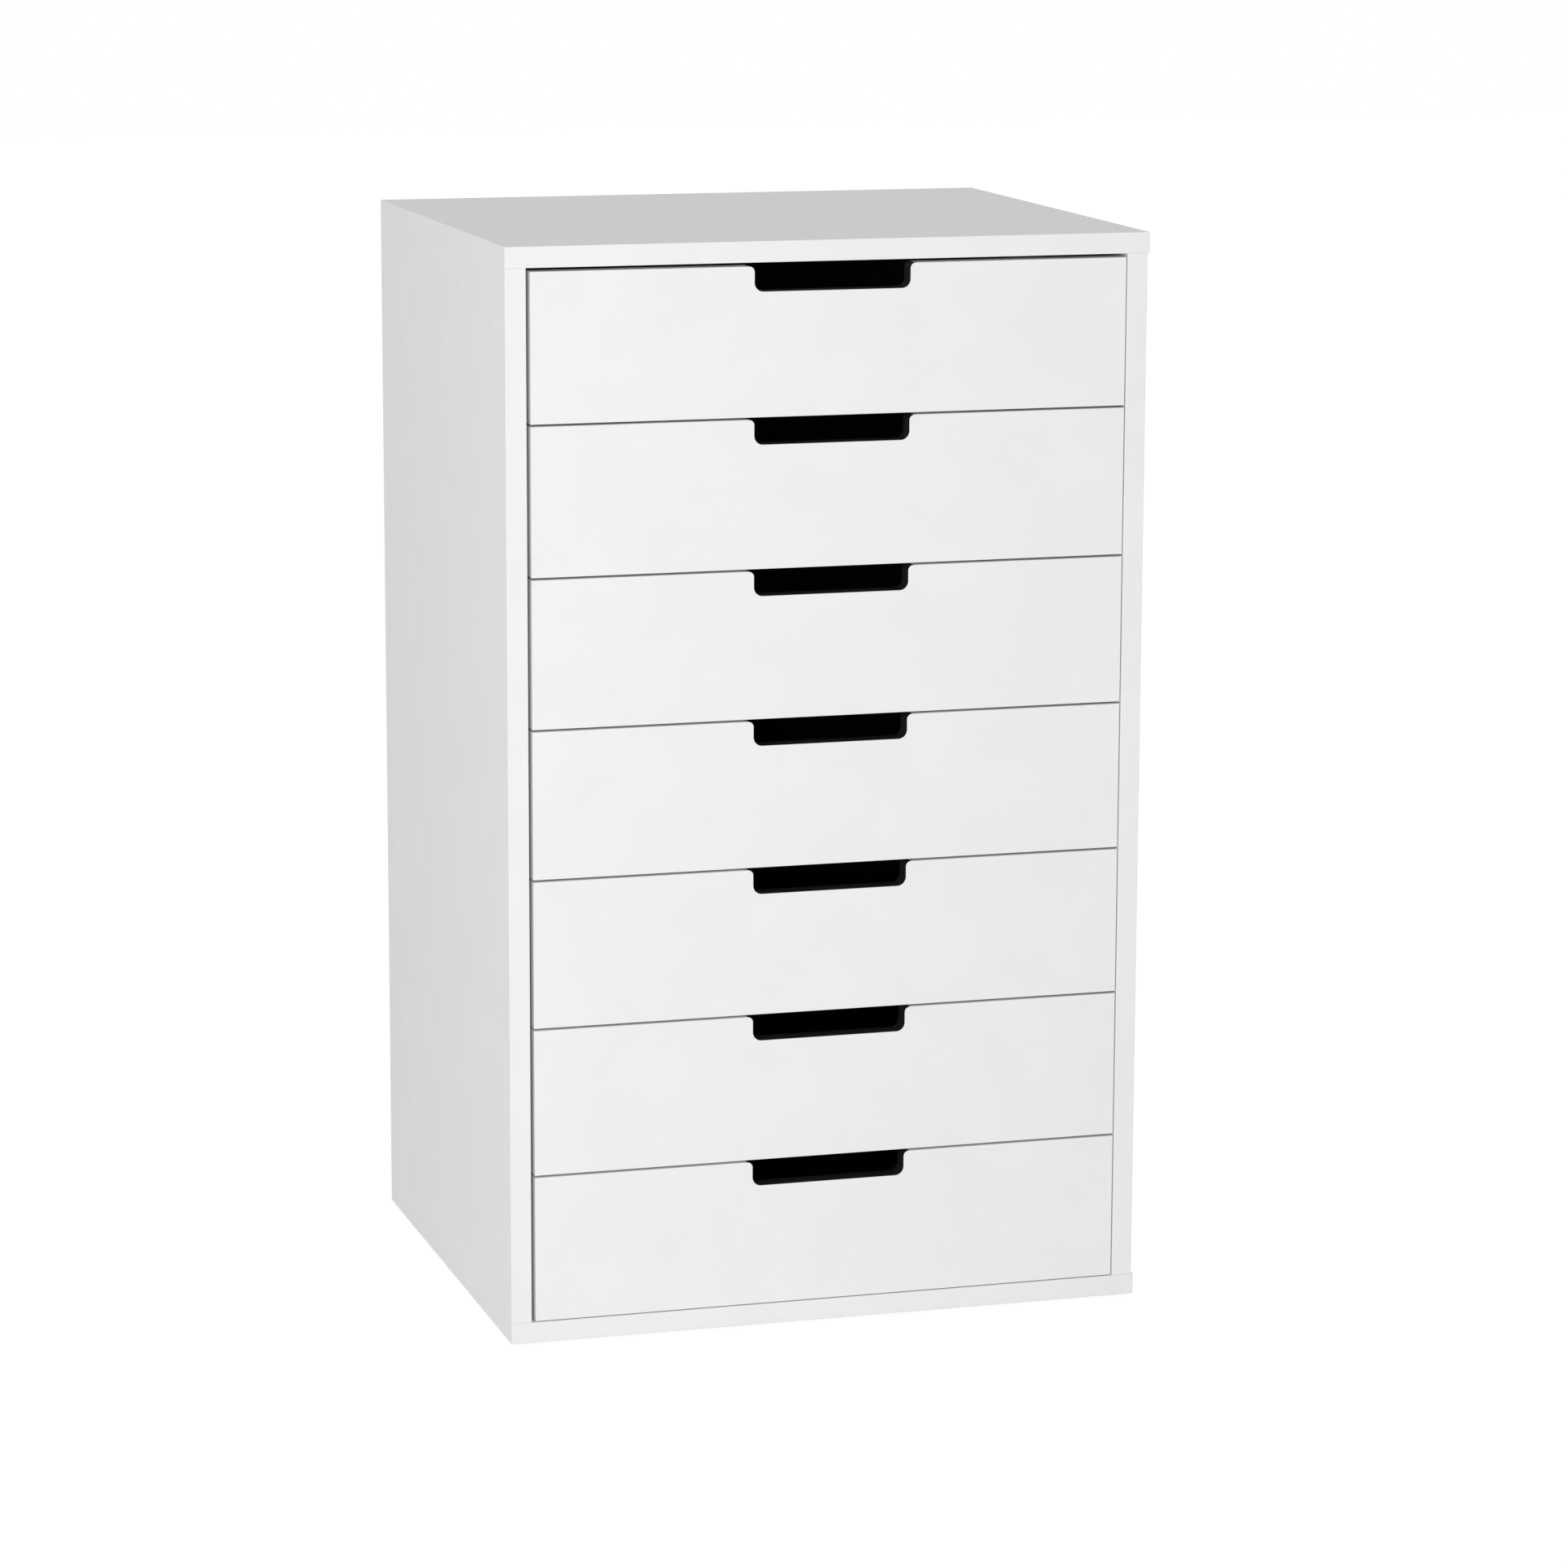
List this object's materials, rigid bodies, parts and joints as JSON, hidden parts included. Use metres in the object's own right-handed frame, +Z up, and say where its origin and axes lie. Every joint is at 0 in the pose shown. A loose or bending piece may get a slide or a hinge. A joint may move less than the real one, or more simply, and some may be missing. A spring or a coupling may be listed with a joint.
{
  "type": "tall chest of drawers",
  "caption": "Tall narrow white chest with a column of inset pull-out drawers, each opened by a notch cut in the upper edge of its plain front.",
  "frame": {"origin": "on the floor under the middle of the chest's overall box", "axes": "+Z up, +Y from the drawer fronts to the back, +X to the right as seen from the front"},
  "size_m": [0.6, 0.51, 1],
  "materials": {
    "white_foil_board": "particle board faced with smooth satin white foil; the cut faces of a front's notch are charcoal",
    "drawer_board": "thin particle board wrapped in matt charcoal foil",
    "white_hardboard": "hardboard, painted matt white on the face",
    "charcoal_hardboard": "hardboard, painted matt charcoal on the upper face",
    "coated_steel": "folded sheet steel with white powder coat",
    "white_nylon": "moulded, smooth",
    "zinc_plated_steel": "bright zinc plate",
    "zinc_alloy": "die-cast, dull",
    "beech": "fluted dowel, unfinished"
  },
  "bodies": {
    "cabinet": {"top_panel": "white_foil_board", "bottom_panel": "white_foil_board", "left_side_panel": "white_foil_board", "right_side_panel": "white_foil_board", "back_panel": "white_hardboard", "left_runner_rails": "coated_steel", "right_runner_rails": "coated_steel", "runner_shoes": "white_nylon", "runner_screws": "zinc_plated_steel", "cam_locks": "zinc_alloy", "cam_bolts": "zinc_plated_steel", "carcass_dowels": "beech", "floor_glides": "white_nylon", "wall_brackets": "coated_steel", "bracket_screws": "zinc_plated_steel"},
    "drawer_1": {"drawer_1_front": "white_foil_board", "drawer_1_left_side": "drawer_board", "drawer_1_right_side": "drawer_board", "drawer_1_back": "drawer_board", "drawer_1_bottom": "charcoal_hardboard", "drawer_1_runner_strips": "white_nylon"},
    "drawer_2": {"drawer_2_front": "white_foil_board", "drawer_2_left_side": "drawer_board", "drawer_2_right_side": "drawer_board", "drawer_2_back": "drawer_board", "drawer_2_bottom": "charcoal_hardboard", "drawer_2_runner_strips": "white_nylon"},
    "drawer_3": {"drawer_3_front": "white_foil_board", "drawer_3_left_side": "drawer_board", "drawer_3_right_side": "drawer_board", "drawer_3_back": "drawer_board", "drawer_3_bottom": "charcoal_hardboard", "drawer_3_runner_strips": "white_nylon"},
    "drawer_4": {"drawer_4_front": "white_foil_board", "drawer_4_left_side": "drawer_board", "drawer_4_right_side": "drawer_board", "drawer_4_back": "drawer_board", "drawer_4_bottom": "charcoal_hardboard", "drawer_4_runner_strips": "white_nylon"},
    "drawer_5": {"drawer_5_front": "white_foil_board", "drawer_5_left_side": "drawer_board", "drawer_5_right_side": "drawer_board", "drawer_5_back": "drawer_board", "drawer_5_bottom": "charcoal_hardboard", "drawer_5_runner_strips": "white_nylon"},
    "drawer_6": {"drawer_6_front": "white_foil_board", "drawer_6_left_side": "drawer_board", "drawer_6_right_side": "drawer_board", "drawer_6_back": "drawer_board", "drawer_6_bottom": "charcoal_hardboard", "drawer_6_runner_strips": "white_nylon"},
    "drawer_7": {"drawer_7_front": "white_foil_board", "drawer_7_left_side": "drawer_board", "drawer_7_right_side": "drawer_board", "drawer_7_back": "drawer_board", "drawer_7_bottom": "charcoal_hardboard", "drawer_7_runner_strips": "white_nylon"}
  },
  "joints": [
    {"name": "drawer_1_slide", "type": "slide", "parent": "cabinet", "child": "drawer_1", "axis": [0, -1, 0], "range_m": [0, 0.338]},
    {"name": "drawer_2_slide", "type": "slide", "parent": "cabinet", "child": "drawer_2", "axis": [0, -1, 0], "range_m": [0, 0.338]},
    {"name": "drawer_3_slide", "type": "slide", "parent": "cabinet", "child": "drawer_3", "axis": [0, -1, 0], "range_m": [0, 0.338]},
    {"name": "drawer_4_slide", "type": "slide", "parent": "cabinet", "child": "drawer_4", "axis": [0, -1, 0], "range_m": [0, 0.338]},
    {"name": "drawer_5_slide", "type": "slide", "parent": "cabinet", "child": "drawer_5", "axis": [0, -1, 0], "range_m": [0, 0.338]},
    {"name": "drawer_6_slide", "type": "slide", "parent": "cabinet", "child": "drawer_6", "axis": [0, -1, 0], "range_m": [0, 0.338]},
    {"name": "drawer_7_slide", "type": "slide", "parent": "cabinet", "child": "drawer_7", "axis": [0, -1, 0], "range_m": [0, 0.338]}
  ]
}
